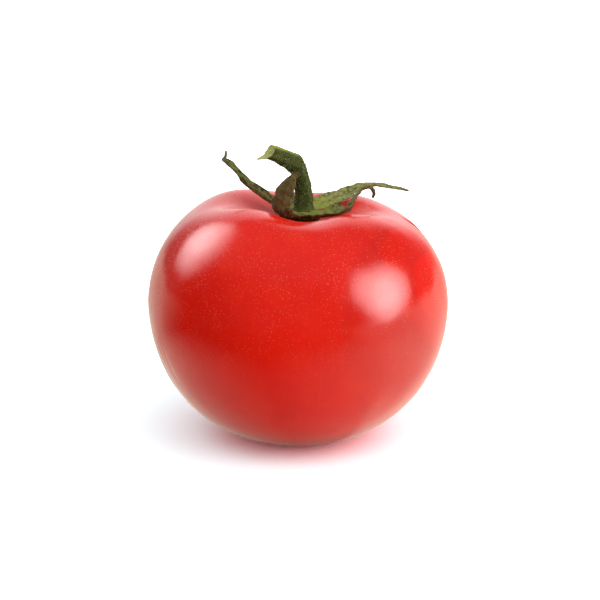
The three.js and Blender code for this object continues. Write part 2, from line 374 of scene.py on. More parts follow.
def make_fruit(material):
    lowest = -math.asin((WIDEST_HEIGHT / (WIDEST_HEIGHT + FLAT_CUT)) ** (1 / BASE_FLATNESS))
    angles = np.linspace(lowest, math.pi / 2, FRUIT_RINGS)[:-1]
    around = np.arange(FRUIT_SIDES) * 2 * math.pi / FRUIT_SIDES
    rings = fruit_points(angles[:, None], around[None, :])
    depth, streak, furrow, dull = skin_relief(rings)
    middle = np.array([0, 0, WIDEST_HEIGHT])
    off_floor = ease(rings[..., 2], 0, UNDERSIDE)
    rings = rings - (depth * off_floor)[..., None] * unit(rings - middle)
    dish = dished(rings[0])
    pole = fruit_points(np.array(math.pi / 2), np.array(0.0))
    ends = np.array([[0, 0, DISH_DEPTH - SCAR_RISE], pole])
    points = np.concatenate([dish.reshape(-1, 3), rings.reshape(-1, 3), ends])
    rows = DISH_RINGS + FRUIT_RINGS - 1
    faces = grid_faces(rows, FRUIT_SIDES)
    bottom, top, last = rows * FRUIT_SIDES, rows * FRUIT_SIDES + 1, (rows - 1) * FRUIT_SIDES
    for side in range(FRUIT_SIDES):
        beside = (side + 1) % FRUIT_SIDES
        faces.append((beside, side, bottom))
        faces.append((last + side, last + beside, top))
    piece = add_mesh("fruit_skin", points, faces, material)
    padding = np.zeros(dish[..., 0].size)
    for name, values, at_top in (("streak", streak, 0), ("furrow", furrow, 0), ("dull", dull, 1)):
        add_values(piece, name, np.concatenate([padding, values.ravel(), [0, at_top]]))
    radius = np.hypot(points[:, 0], points[:, 1])
    turn = np.arctan2(points[:, 1], points[:, 0])
    add_values(piece, "scar", scar_at(turn, radius) * (points[:, 2] < UNDERSIDE))
    spread = np.maximum(radius, 1)
    meridian = [points[:, 0] / spread, points[:, 1] / spread, points[:, 2] / THREAD_LENGTH]
    add_places(piece, "meridian", np.stack(meridian, -1))
    return dress(piece, "fruit")


# Lines and blades

def curve_points(rows, shares):
    """Places on a smooth line through rows of points, the same line as the solid's."""
    rows = np.asarray(rows, float)
    full = np.concatenate([[2 * rows[0] - rows[1]], rows, [2 * rows[-1] - rows[-2]]])
    places = []
    for share in shares:
        at = share * (len(rows) - 1)
        first = min(int(at), len(rows) - 2)
        weight = at - first
        p0, p1, p2, p3 = full[first : first + 4]
        gap0, gap1, gap2 = (math.sqrt(np.linalg.norm(b - a)) for a, b in ((p0, p1), (p1, p2), (p2, p3)))
        slope1 = gap1 * ((p1 - p0) / gap0 - (p2 - p0) / (gap0 + gap1) + (p2 - p1) / gap1)
        slope2 = gap1 * ((p2 - p1) / gap1 - (p3 - p1) / (gap1 + gap2) + (p3 - p2) / gap2)
        square = -3 * p1 + 3 * p2 - 2 * slope1 - slope2
        cube = 2 * p1 - 2 * p2 + slope1 + slope2
        places.append(p1 + weight * (slope1 + weight * (square + weight * cube)))
    return np.array(places)


def frames_along(rows, steps, start_inner):
    """Shares, places, ways on, sides, inner faces and values along a line of rows."""
    rows = np.asarray(rows, float)
    shares = np.linspace(0, 1, steps + 1)
    places = curve_points(rows[:, :3], shares)
    nudge = 1e-4
    ahead = curve_points(rows[:, :3], np.minimum(shares + nudge, 1))
    behind = curve_points(rows[:, :3], np.maximum(shares - nudge, 0))
    ways = unit(ahead - behind)
    inner = np.asarray(start_inner, float)
    sides, inners = [], []
    for way in ways:
        side = unit(np.cross(way, inner))
        inner = unit(np.cross(side, way))
        sides.append(side)
        inners.append(inner)
    at = shares * (len(rows) - 1)
    values = np.stack([np.interp(at, range(len(rows)), rows[:, i]) for i in range(3, rows.shape[1])], -1)
    return shares, places, ways, np.array(sides), np.array(inners), values


BLADE_STEPS = 132
BLADE_STRIPS = 24
# The midrib stands out under the blade and lies in a groove on top, with veins beside it.
RIB_HEIGHT = 0.22
RIB_WIDTH = 0.13
VEIN_HEIGHT = 0.05
VEINS = 5
GROOVE_SHARE = 0.5
# Lumps over the whole blade and waves along its edges.
LUMP_SIZE = 2.1
LUMP_HEIGHT = 0.12
CRUMPLE_SIZE = 0.8
CRUMPLE_HEIGHT = 0.04
EDGE_WAVE_SIZE = 3.4
EDGE_WAVE_HEIGHT = 0.22
EDGE_RAGGED = 0.07
# The two edges have waves of their own, and so has the grain of each sepal.
EDGES_APART = 3
GRAINS_APART = 3
# The relief starts at this share of the length, and is lower where the blade is narrower than this.
RELIEF_START = 0.12
RELIEF_HALF_WIDTH = 1.5
TIP_START = 0.95
TIP_END = 1.02
TIP_BLUNTNESS = 0.02
# The outer face is less brown towards the tip, and the tip itself has dried.
BROWN_FADE = 0.4
TIP_DRIED = 0.8
TIP_DRIED_FROM = 0.86

# How brown each sepal's outer face has dried, and how pale its green is.
SEPAL_LOOKS = {
    "left": (0.3, 0.4),
    "front_left": (1.0, 0.4),
    "front_right": (0.85, 0.6),
    "back_right": (0.1, 0.9),
    "back": (0.6, 0.1),
}


def blade_relief(shares, across, face, middle, length, seed):
    """How far each point of a blade stands up towards its inner face."""
    lumps = LUMP_HEIGHT * waves(middle, LUMP_SIZE, seed)
    lumps = lumps + CRUMPLE_HEIGHT * waves(middle, CRUMPLE_SIZE, seed + 1)
    along = shares[:, None] * length + 0 * across
    edge_line = np.stack([along, EDGES_APART * np.sign(across) + 0 * along, 0 * along], -1)
    edges = EDGE_WAVE_HEIGHT * across**2 * waves(edge_line, EDGE_WAVE_SIZE, seed + 2)
    taper = np.sqrt(1 - shares)[:, None]
    veins = VEIN_HEIGHT * np.cos(VEINS * math.pi * across)
    rib = RIB_HEIGHT * bell(across, RIB_WIDTH)
    outer = -rib * (face < 0) - GROOVE_SHARE * rib * (face > 0) - veins * (face < 0)
    fade = ease(shares, 0, RELIEF_START)[:, None]
    return (lumps + edges) * fade + outer * taper


def make_sepal(number, name, rows, material):
    shares, places, _, sides, inners, values = frames_along(rows, BLADE_STEPS, (0, 0, 1))
    across = np.linspace(-1, 1, BLADE_STRIPS + 1)
    across = np.concatenate([across, across[::-1]])
    face = np.repeat([1, -1], BLADE_STRIPS + 1)
    length = np.linalg.norm(np.diff(places, axis=0), axis=1).sum()
    edge_line = np.stack([shares * length, 0 * shares, 0 * shares], -1)
    ragged = 1 + EDGE_RAGGED * waves(edge_line, EDGE_WAVE_SIZE / 2, number)
    tip = np.sqrt(np.maximum(1 - ease(shares, TIP_START, TIP_END) ** 2, TIP_BLUNTNESS))
    half_width = (values[:, 0] * ragged * tip)[:, None]
    curl = np.radians(np.maximum(values[:, 1:2], 1))
    roll = np.radians(values[:, 2])[:, None]
    turned_sides = sides * np.cos(roll) - inners * np.sin(roll)
    turned_inners = inners * np.cos(roll) + sides * np.sin(roll)
    thickness = (BLADE_MIDDLE + (BLADE_EDGE - BLADE_MIDDLE) * across**2) * tip[:, None]
    arc = half_width / curl

    def blade(reach):
        beside = reach * np.sin(across * curl)
        above = arc - reach * np.cos(across * curl)
        return (
            places[:, None, :]
            + beside[..., None] * turned_sides[:, None, :]
            + above[..., None] * turned_inners[:, None, :]
        )

    relief = blade_relief(shares, across, face, blade(arc + 0 * across), length, 10 * number)
    thin = np.minimum(1, half_width / RELIEF_HALF_WIDTH)
    points = blade(arc - face * thickness / 2 - relief * thin)
    count = len(across)
    faces = grid_faces(BLADE_STEPS + 1, count)
    last = BLADE_STEPS * count
    for i in range(BLADE_STRIPS):
        other = count - 1 - i
        faces.append((i, other, other - 1, i + 1))
        faces.append((last + i, last + i + 1, last + other - 1, last + other))
    piece = add_mesh(f"sepal_{name}", points.reshape(-1, 3), faces, material)
    brown, pale = SEPAL_LOOKS[name]
    outer = (1 - face) / 2
    dried_and_shade = brown * outer * (1 - BROWN_FADE * shares[:, None])
    dried_and_shade = dried_and_shade + TIP_DRIED * ease(shares, TIP_DRIED_FROM, 1)[:, None]
    add_values(piece, "along", np.repeat(shares, count))
    add_values(piece, "across", np.tile(across, len(shares)))
    add_values(piece, "dried_and_shade", dried_and_shade)
    add_values(piece, "pale", np.full(points.shape[:2], pale))
    along = 0 * across + shares[:, None] * length
    apart = GRAINS_APART * number + outer + 0 * curl
    add_places(piece, "grain", np.stack([across * half_width, along, apart], -1))
    dress(piece, "calyx")
    return points


DISC_SIDES = 120
DISC_RINGS = 14
DISC_RIBS = 10
DISC_RIB_HEIGHT = 0.07
DISC_LUMP_SIZE = 1.2
DISC_LUMP_HEIGHT = 0.05
DISC_LUMP_SEED = 3
# The disc's lower side is painted dark brown as shade, from this far above its rim down.
DISC_SHADE_ABOVE = 0.3
# The disc draws in below its rim.
DISC_FOOT_SHARES = (0.85, 0.7, 0.5)


def make_disc(material):
    """The domed disc that the sepals grow from, closed below inside the hollow."""
    around = np.arange(DISC_SIDES) * 2 * math.pi / DISC_SIDES
    rings = []
    for share in np.linspace(0.1, 1, DISC_RINGS):
        rib = DISC_RIB_HEIGHT * share * np.cos(DISC_RIBS * around)
        rings.append((DISC_RADIUS * share + 0 * around, DISC_TOP - DISC_FALL * share**3 + rib))
    for share in DISC_FOOT_SHARES:
        height = DISC_FOOT + (DISC_TOP - DISC_FALL - DISC_FOOT) * share**3
        rings.append((DISC_RADIUS * share + 0 * around, height + 0 * around))
    points = [
        np.stack([STEM_X + radius * np.cos(around), radius * np.sin(around), height], -1)[::-1]
        for radius, height in rings
    ]
    points = np.concatenate(points)
    rows = len(rings)
    lumps = DISC_LUMP_HEIGHT * waves(points, DISC_LUMP_SIZE, DISC_LUMP_SEED)
    points = points + lumps[:, None] * np.array([0, 0, 1])
    faces = grid_faces(rows, DISC_SIDES)
    faces.append(tuple(range(DISC_SIDES))[::-1])
    faces.append(tuple((rows - 1) * DISC_SIDES + i for i in range(DISC_SIDES)))
    piece = add_mesh("calyx_disc", points, faces, material)
    add_values(piece, "along", np.zeros(len(points)))
    add_values(piece, "across", np.full(len(points), 0.5))
    rim = DISC_TOP - DISC_FALL
    # Below its rim the disc is painted dark brown, a painted shade.
    add_values(piece, "dried_and_shade", ease(points[:, 2], rim + DISC_SHADE_ABOVE, rim))
    add_values(piece, "pale", np.zeros(len(points)))
    add_places(piece, "grain", points)
    return dress(piece, "calyx")


STEM_SIDES = 96
STEM_STEPS = 230
CUT_RINGS = 16
# The stem is trimmed by about the height of its low ribs and lumps, to keep close to the solid's outline.
STEM_TRIM = 0.16
STEM_RIBS = 6
STEM_RIB_DEPTH = 0.035
STEM_RIB_TWIST = 4
STEM_LUMPS = ((2.4, 0.07), (0.9, 0.035))
# The knee: its place along the stem, the knuckle on its outer side, and the ring where it lets go.
KNEE = 0.56
KNUCKLE = 0.12
KNUCKLE_LENGTH = 0.035
KNEE_RING = 0.5
KNEE_RING_DEPTH = 0.1
KNEE_RING_LENGTH = 0.008
FOOT_FLARE = 0.45
FOOT_LENGTH = 0.9
# The cut face is hollow. The torn lip is widest at the rim's lowest point, and fades out on the cut face.
CUT_HOLLOW = 0.55
CUT_ROUGH = 0.06
CUT_ROUGH_SIZE = 0.7
CUT_ROUGH_SEED = 5
LIP_STARTS = 0.5
LIP_FULL = 0.97
LIP_INNER = 0.15
LIP_OUTER = 0.55
# A lighter yellow-green strip runs along the top of the cut part: a ridge's colour, and also a painted
# highlight on the side that faces up.
RIDGE_START = 0.6
RIDGE_FADE = 0.08
RIDGE_WIDTH = 0.28
RIDGE_HEIGHT = 1.2
RIDGE_SPREAD = 0.3
# The foot is lighter up to this share of the length, and the last rows before the cut grow no hairs.
FOOT_SHARE = 0.14
HAIRLESS_ROWS = 4


def stem_radius(shares, places, ways, spokes, radius):
    """The stem's radius in each direction, with its ribs, lumps, knuckle and flared foot."""
    turn = np.arange(STEM_SIDES) * 2 * math.pi / STEM_SIDES
    ribs = STEM_RIB_DEPTH * np.cos(STEM_RIBS * turn[None, :] + STEM_RIB_TWIST * shares[:, None])
    plain = places[:, None, :] + radius[:, None, None] * spokes
    lumps = sum(height * waves(plain, size, int(10 * size)) for size, height in STEM_LUMPS)
    bend = unit(np.gradient(ways, axis=0)[int(KNEE * STEM_STEPS)])
    outside = np.maximum(-(spokes @ bend), 0) ** 3
    knuckle = KNUCKLE * bell(shares - KNEE, KNUCKLE_LENGTH)[:, None] * outside
    ring = KNEE_RING_DEPTH * bell(shares - KNEE_RING, KNEE_RING_LENGTH)[:, None]
    flare = FOOT_FLARE * np.exp(-(places[:, 2] - STEM[0][2]) / FOOT_LENGTH)[:, None]
    return radius[:, None] * (1 + ribs) - STEM_TRIM + lumps + knuckle - ring + flare


def cut_face(place, way, spokes, radius, low, lip):
    """Rings from the cut's rim in to its middle."""
    rings = []
    for share in np.linspace(1, 0, CUT_RINGS + 1)[1:]:
        ring = place + (radius * share)[:, None] * spokes
        sunk = CUT_HOLLOW * (1 - share**4)
        torn = lip * ease(share, LIP_INNER, LIP_OUTER)
        ring = ring + (CUT_SLANT * low * share / 2 - sunk)[:, None] * way + torn[:, None] * LIP
        rings.append(ring + CUT_ROUGH * share * waves(ring, CUT_ROUGH_SIZE, CUT_ROUGH_SEED)[:, None] * way)
    return np.array(rings)


def make_stem(material):
    shares, places, ways, sides, inners, values = frames_along(STEM, STEM_STEPS, (0, 1, 0))
    angle = (np.arange(STEM_SIDES) + 0.5) * 2 * math.pi / STEM_SIDES
    spokes = (
        np.cos(angle)[None, :, None] * sides[:, None, :]
        - np.sin(angle)[None, :, None] * inners[:, None, :]
    )
    radius = stem_radius(shares, places, ways, spokes, values[:, 0])
    tube = places[:, None, :] + radius[..., None] * spokes
    low = -spokes[-1][:, 2] / np.abs(spokes[-1][:, 2]).max()
    lip = ease(low, LIP_STARTS, LIP_FULL)
    tube[-1] += (CUT_SLANT * low / 2)[:, None] * ways[-1] + lip[:, None] * np.array(LIP)
    cut = cut_face(places[-1], ways[-1], spokes[-1], radius[-1], low, lip)
    points = np.concatenate([tube, cut])
    rows = len(points)
    faces = grid_faces(rows, STEM_SIDES)
    faces.append(tuple(range(STEM_SIDES))[::-1])
    faces.append(tuple((rows - 1) * STEM_SIDES + i for i in range(STEM_SIDES)))
    piece = add_mesh("stem_stalk", points.reshape(-1, 3), faces, material)
    # The strip lies on the side that faces up, where it paints the light from above.
    height = np.arctan2(spokes[..., 2], np.abs(spokes[..., 1]) + RIDGE_SPREAD)
    ridge_and_highlight = ease(height, RIDGE_HEIGHT - 2 * RIDGE_WIDTH, RIDGE_HEIGHT)
    ridge_and_highlight = ridge_and_highlight * ease(shares, RIDGE_START, RIDGE_START + RIDGE_FADE)[:, None]
    ridge_and_highlight = np.concatenate([ridge_and_highlight, np.zeros(cut.shape[:2])])
    on_cut = np.concatenate([0 * radius, np.ones(cut.shape[:2])])
    on_cut[STEM_STEPS] = 0.5
    to_middle = np.concatenate([0 * shares, np.linspace(0, 1, CUT_RINGS)])
    length = np.linalg.norm(np.diff(places, axis=0), axis=1).sum()
    along = np.concatenate([shares * length, np.full(CUT_RINGS, length)])
    round_it = [np.tile(np.cos(angle), (rows, 1)), np.tile(np.sin(angle), (rows, 1))]
    grain = np.stack([*round_it, along[:, None] + 0 * on_cut], -1)
    add_values(piece, "ridge_and_highlight", ridge_and_highlight)
    add_values(piece, "cut", on_cut)
    add_values(piece, "core", to_middle[:, None] + 0 * on_cut)
    foot = np.concatenate([ease(shares, FOOT_SHARE, 0), np.zeros(CUT_RINGS)])
    add_values(piece, "foot", foot[:, None] + 0 * on_cut)
    add_places(piece, "grain", grain)
    dress(piece, "stem")
    return tube[:-HAIRLESS_ROWS]


# Hairs

HAIR_RADIUS = 0.032
HAIR_SHORTEST = 0.3
HAIR_LONGEST = 1.0
HAIR_SUNK = 0.05
HAIR_LEAN = 0.55
# A hair bends halfway up, and is this much slimmer there.
HAIR_BEND = 0.5
HAIR_WAIST = 0.6
SEPAL_HAIRS = 330
STEM_HAIRS = 1100
CALYX_HAIR_SEED = 7
STEM_HAIR_SEED = 8


def hairs_on(points, count, draw):
    """Roots, middles, tips and outward directions of hairs on a surface of closed rows."""
    rows, columns = points.shape[:2]
    row = draw.integers(0, rows - 1, count)
    column = draw.integers(0, columns, count)
    here, beside = points[row, column], points[row, (column + 1) % columns]
    ahead = points[row + 1, column]
    out = np.cross(beside - here, ahead - here)
    out = out / (np.linalg.norm(out, axis=-1, keepdims=True) + 1e-9)
    slide, climb = draw.uniform(0, 1, (2, count, 1))
    root = here + slide * (beside - here) + climb * (ahead - here)
    reach = draw.uniform(HAIR_SHORTEST, HAIR_LONGEST, (count, 1)) * draw.uniform(0.5, 1, (count, 1))
    lean = unit(out + HAIR_LEAN * draw.normal(size=(count, 3)))
    curved = unit(lean + HAIR_BEND * draw.normal(size=(count, 3)) * HAIR_LEAN)
    middle = root + reach / 2 * lean
    return root - HAIR_SUNK * out, middle, middle + reach / 2 * curved, out


def grow_hairs(name, patches, seed, material, node):
    """Slim three-sided hairs, all in one mesh."""
    draw = np.random.default_rng(seed)
    grown = [hairs_on(points, count, draw) for points, count in patches]
    root, middle, tip, out = (np.concatenate(part) for part in zip(*grown))
    top = cad_box[1][2] / MM
    clear = (tip[:, 2] < top) & (middle[:, 2] < top)
    root, middle, tip, out = (part[clear] for part in (root, middle, tip, out))
    aside = unit(np.cross(out, (0.3, 0.5, 0.8)))
    other = np.cross(out, aside)
    turns = (0, 2 * math.pi / 3, 4 * math.pi / 3)
    corners = [math.cos(turn) * aside + math.sin(turn) * other for turn in turns]
    base = [root + HAIR_RADIUS * corner for corner in corners]
    waist = [middle + HAIR_WAIST * HAIR_RADIUS * corner for corner in corners]
    points = np.stack([*base, *waist, tip], 1)
    faces = []
    for hair in range(len(points)):
        first = 7 * hair
        for i in range(3):
            j = (i + 1) % 3
            faces.append((first + i, first + j, first + 3 + j, first + 3 + i))
            faces.append((first + 3 + i, first + 3 + j, first + 6))
        faces.append((first + 2, first + 1, first))
    dress(add_mesh(name, points.reshape(-1, 3), faces, material), node)


# Materials

def link(tree, value, socket):
    if isinstance(value, bpy.types.NodeSocket):
        tree.links.new(value, socket)
    else:
        socket.default_value = value


def add_node(tree, kind, inputs=None, **settings):
    made = tree.nodes.new(kind)
    for name, value in settings.items():
        setattr(made, name, value)
    for name, value in (inputs or {}).items():
        link(tree, value, made.inputs[name])
    return made


def start_material(name, specular, subsurface=0.0, reach=(1, 1, 1)):
    material = bpy.data.materials.new(name)
    material.use_nodes = True
    tree = material.node_tree
    shader = tree.nodes["Principled BSDF"]
    shader.inputs["Specular IOR Level"].default_value = specular
    shader.inputs["Subsurface Weight"].default_value = subsurface
    shader.inputs["Subsurface Radius"].default_value = reach
    shader.inputs["Subsurface Scale"].default_value = MM
    return material, tree, shader


def in_millimetres(tree):
    place = add_node(tree, "ShaderNodeTexCoord").outputs["Object"]
    return add_node(tree, "ShaderNodeVectorMath", {0: place, "Scale": 1 / MM}, operation="SCALE").outputs[0]


def stretched(tree, vector, stretch):
    inputs = {0: vector, 1: stretch}
    return add_node(tree, "ShaderNodeVectorMath", inputs, operation="MULTIPLY").outputs[0]


def value_of(tree, name):
    return add_node(tree, "ShaderNodeAttribute", attribute_name=name).outputs["Fac"]


def place_of(tree, name):
    return add_node(tree, "ShaderNodeAttribute", attribute_name=name).outputs["Vector"]


def noise(tree, vector, scale, detail=2.0, rough=0.5):
    inputs = {"Vector": vector, "Scale": scale, "Detail": detail, "Roughness": rough}
    return add_node(tree, "ShaderNodeTexNoise", inputs).outputs["Fac"]


def remap(tree, value, low, high, to_low=0.0, to_high=1.0):
    inputs = {"Value": value, "From Min": low, "From Max": high, "To Min": to_low, "To Max": to_high}
    return add_node(tree, "ShaderNodeMapRange", inputs, interpolation_type="SMOOTHSTEP").outputs["Result"]


def combine(tree, operation, first, second):
    return add_node(tree, "ShaderNodeMath", {0: first, 1: second}, operation=operation).outputs[0]


def mix(tree, share, first, second):
    """A colour between two others."""
    made = add_node(tree, "ShaderNodeMix", data_type="RGBA")
    for socket, value in ((made.inputs[0], share), (made.inputs[6], first), (made.inputs[7], second)):
        link(tree, (*value, 1) if isinstance(value, tuple) else value, socket)
    return made.outputs[2]


def raised(tree, height, depth, under=None):
    inputs = {"Height": height, "Distance": depth * MM, "Strength": 1.0}
    if under is not None:
        inputs["Normal"] = under
    return add_node(tree, "ShaderNodeBump", inputs).outputs["Normal"]


SKIN_RED = (0.62, 0.006, 0.0004)
SKIN_DEEP = (0.58, 0.005, 0.0003)
SKIN_ORANGE = (0.68, 0.018, 0.0012)
SKIN_STREAK = (0.74, 0.05, 0.008)
SKIN_SPECK = (0.86, 0.2, 0.05)
SKIN_HEALED = (0.62, 0.15, 0.05)
SKIN_SPLIT = (0.22, 0.02, 0.006)
CORK = (0.2, 0.1, 0.035)
CORK_DARK = (0.06, 0.025, 0.01)
# The pale specks: how far apart and how big they are, and the heights where they thin out.
SPECK_GAP = 0.5
SPECK_RADIUS = 0.13
SPECK_CORE = 0.35
SPECK_LOW = 14
SPECK_HIGH = 44
SPECK_DIMPLE = 0.02
SKIN_SPECULAR = 0.5
SKIN_GLOW = 0.06
SKIN_GLOW_REACH = (1.6, 0.25, 0.1)
# How fine each pattern of the skin is, per millimetre, and how strong it gets.
PATCH_SCALE = 0.07
BLUSH_SCALE = 0.16
BLUSH_MOST = 0.3
CLUSTER_SCALE = 0.11
CORK_SCALE = 2.5
THREAD_STRETCH = (60, 60, 12)
THREAD_MOST = 0.1
THREAD_HEIGHT = 0.02
SPECK_MOST = 0.36
STREAK_MOST = 0.8
FURROW_MOST = 0.6
PEEL_SCALE = 1.3
PEEL_HEIGHT = 0.012
# The roughness of the skin, and what specks, the calyx and the scar add to it.
GLOSS_SCALE = 0.35
ROUGHNESS_LOW = 0.16
ROUGHNESS_HIGH = 0.2
SPECK_ROUGHNESS = 0.15
DULL_ROUGHNESS = 0.32
SCAR_ROUGHNESS = 0.4


def skin_material():
    material, tree, shader = start_material("tomato_skin", SKIN_SPECULAR, SKIN_GLOW, SKIN_GLOW_REACH)
    place = in_millimetres(tree)
    height = add_node(tree, "ShaderNodeSeparateXYZ", {0: place}).outputs["Z"]
    patches = remap(tree, noise(tree, place, PATCH_SCALE), 0.35, 0.65)
    colour = mix(tree, patches, SKIN_RED, SKIN_DEEP)
    blush = remap(tree, noise(tree, place, BLUSH_SCALE, 3.0), 0.45, 0.75)
    blush = combine(tree, "MULTIPLY", blush, BLUSH_MOST)
    colour = mix(tree, blush, colour, SKIN_ORANGE)
    meridian = place_of(tree, "meridian")
    threads = noise(tree, stretched(tree, meridian, THREAD_STRETCH), 1.0, 4.0, 0.6)
    threads = remap(tree, threads, 0.5, 0.78, 0, THREAD_MOST)
    colour = mix(tree, threads, colour, SKIN_STREAK)
    cells = add_node(tree, "ShaderNodeTexVoronoi", {"Vector": place, "Scale": 1 / SPECK_GAP})
    rim = SPECK_RADIUS / SPECK_GAP
    spot = remap(tree, cells.outputs["Distance"], SPECK_CORE * rim, rim, 1, 0)
    thick = combine(tree, "MULTIPLY", remap(tree, height, SPECK_LOW, SPECK_HIGH, 0.15, 1), spot)
    clustered = remap(tree, noise(tree, place, CLUSTER_SCALE), 0.3, 0.6, 0.5, 1)
    specks = combine(tree, "MULTIPLY", thick, clustered)
    colour = mix(tree, combine(tree, "MULTIPLY", specks, SPECK_MOST), colour, SKIN_SPECK)
    streak = combine(tree, "MULTIPLY", value_of(tree, "streak"), STREAK_MOST)
    colour = mix(tree, streak, colour, SKIN_HEALED)
    furrow = combine(tree, "MULTIPLY", value_of(tree, "furrow"), FURROW_MOST)
    colour = mix(tree, furrow, colour, SKIN_SPLIT)
    cork = mix(tree, remap(tree, noise(tree, place, CORK_SCALE, 4.0), 0.4, 0.6), CORK, CORK_DARK)
    scar = remap(tree, value_of(tree, "scar"), 0.35, 0.5)
    link(tree, mix(tree, scar, colour, cork), shader.inputs["Base Color"])
    rough = remap(tree, noise(tree, place, GLOSS_SCALE, 3.0), 0.3, 0.7, ROUGHNESS_LOW, ROUGHNESS_HIGH)
    rough = combine(tree, "ADD", rough, combine(tree, "MULTIPLY", specks, SPECK_ROUGHNESS))
    rough = combine(tree, "ADD", rough, remap(tree, value_of(tree, "dull"), 0.1, 0.7, 0, DULL_ROUGHNESS))
    rough = combine(tree, "ADD", rough, combine(tree, "MULTIPLY", scar, SCAR_ROUGHNESS))
    link(tree, rough, shader.inputs["Roughness"])
    peel = raised(tree, noise(tree, place, PEEL_SCALE), PEEL_HEIGHT)
    pitted = raised(tree, combine(tree, "MULTIPLY", specks, -1.0), SPECK_DIMPLE, peel)
    link(tree, raised(tree, threads, THREAD_HEIGHT, pitted), shader.inputs["Normal"])
    return material


LEAF_DARK = (0.018, 0.024, 0.003)
LEAF_GREEN = (0.08, 0.095, 0.012)
LEAF_PALE = (0.32, 0.31, 0.1)
LEAF_YELLOW = (0.25, 0.28, 0.028)
LEAF_DOWN = (0.27, 0.28, 0.12)
LEAF_BROWN = (0.11, 0.036, 0.008)
LEAF_DEAD = (0.016, 0.006, 0.002)
LEAF_RUST = (0.2, 0.15, 0.055)
LEAF_SPECULAR = 0.12
LEAF_MOTTLE_SCALE = 1.1
LEAF_THREAD_STRETCH = (4.5, 0.5, 1)
LEAF_DOWN_SCALE = 4.2
LEAF_DOWN_MOST = 0.28
LEAF_THREAD_HEIGHT = 0.12
LEAF_GRAIN_SCALE = 3.4
LEAF_GRAIN_HEIGHT = 0.14
# The roughness of the leaves and of the stem.
PLANT_ROUGHNESS_LOW = 0.55
PLANT_ROUGHNESS_HIGH = 0.8


def leaf_material():
    material, tree, shader = start_material("sepal_leaf", LEAF_SPECULAR)
    place = in_millimetres(tree)
    grain = place_of(tree, "grain")
    along, across = value_of(tree, "along"), value_of(tree, "across")
    edge = combine(tree, "ABSOLUTE", across, 0.0)
    mottle = noise(tree, place, LEAF_MOTTLE_SCALE, 4.0, 0.65)
    threads = noise(tree, stretched(tree, grain, LEAF_THREAD_STRETCH), 1.0, 3.0, 0.6)
    colour = mix(tree, remap(tree, mottle, 0.38, 0.62), LEAF_DARK, LEAF_GREEN)
    colour = mix(tree, remap(tree, threads, 0.5, 0.72, 0, 0.5), colour, LEAF_PALE)
    pale = combine(tree, "MULTIPLY", value_of(tree, "pale"), remap(tree, mottle, 0.38, 0.6, 0.15, 1))
    colour = mix(tree, pale, colour, LEAF_PALE)
    midrib = remap(tree, edge, 0.1, 0.03, 0, 0.7)
    colour = mix(tree, midrib, colour, LEAF_GREEN)
    rooted = combine(tree, "MULTIPLY", remap(tree, along, 0.32, 0.1), remap(tree, mottle, 0.3, 0.6, 0.3, 1))
    colour = mix(tree, rooted, colour, LEAF_YELLOW)
    down = noise(tree, place, LEAF_DOWN_SCALE, 3.0, 0.7)
    down = remap(tree, down, 0.56, 0.7, 0, LEAF_DOWN_MOST)
    colour = mix(tree, down, colour, LEAF_DOWN)
    brown = mix(tree, remap(tree, threads, 0.42, 0.6), LEAF_BROWN, LEAF_DEAD)
    brown = mix(tree, remap(tree, mottle, 0.6, 0.72, 0, 0.4), brown, LEAF_GREEN)
    # The sepals' dried brown outer faces and tips, and the painted shade on the disc's lower side.
    dried_and_shade = combine(tree, "MULTIPLY", value_of(tree, "dried_and_shade"), remap(tree, mottle, 0.2, 0.5, 0.75, 1))
    colour = mix(tree, dried_and_shade, colour, brown)
    rim = combine(tree, "MULTIPLY", remap(tree, edge, 0.88, 1), remap(tree, mottle, 0.4, 0.6, 0.2, 0.8))
    link(tree, mix(tree, rim, colour, LEAF_RUST), shader.inputs["Base Color"])
    rough = remap(tree, mottle, 0.3, 0.7, PLANT_ROUGHNESS_LOW, PLANT_ROUGHNESS_HIGH)
    link(tree, rough, shader.inputs["Roughness"])
    veined = raised(tree, threads, LEAF_THREAD_HEIGHT)
    crumb = noise(tree, place, LEAF_GRAIN_SCALE, 4.0, 0.7)
    link(tree, raised(tree, crumb, LEAF_GRAIN_HEIGHT, veined), shader.inputs["Normal"])
    return material


STALK_DARK = (0.015, 0.02, 0.002)
STALK_GREEN = (0.06, 0.076, 0.009)
STALK_FLECK = (0.18, 0.19, 0.045)
STALK_RIDGE_HIGHLIGHT = (0.34, 0.38, 0.03)
STALK_FOOT = (0.13, 0.16, 0.02)
CUT_FLESH = (0.52, 0.52, 0.2)
CUT_GREEN = (0.24, 0.3, 0.055)
CUT_BROWN = (0.2, 0.13, 0.045)
STALK_SPECULAR = 0.15
STALK_MOTTLE_SCALE = 0.9
FIBRE_STRETCH = (5, 5, 0.35)
FLECK_SCALE = 3.8
FLECK_MOST = 0.45
FOOT_MOST = 0.5
FLESH_SCALE = 2.2
FIBRE_HEIGHT = 0.15
STALK_GRAIN_SCALE = 3
STALK_GRAIN_HEIGHT = 0.14


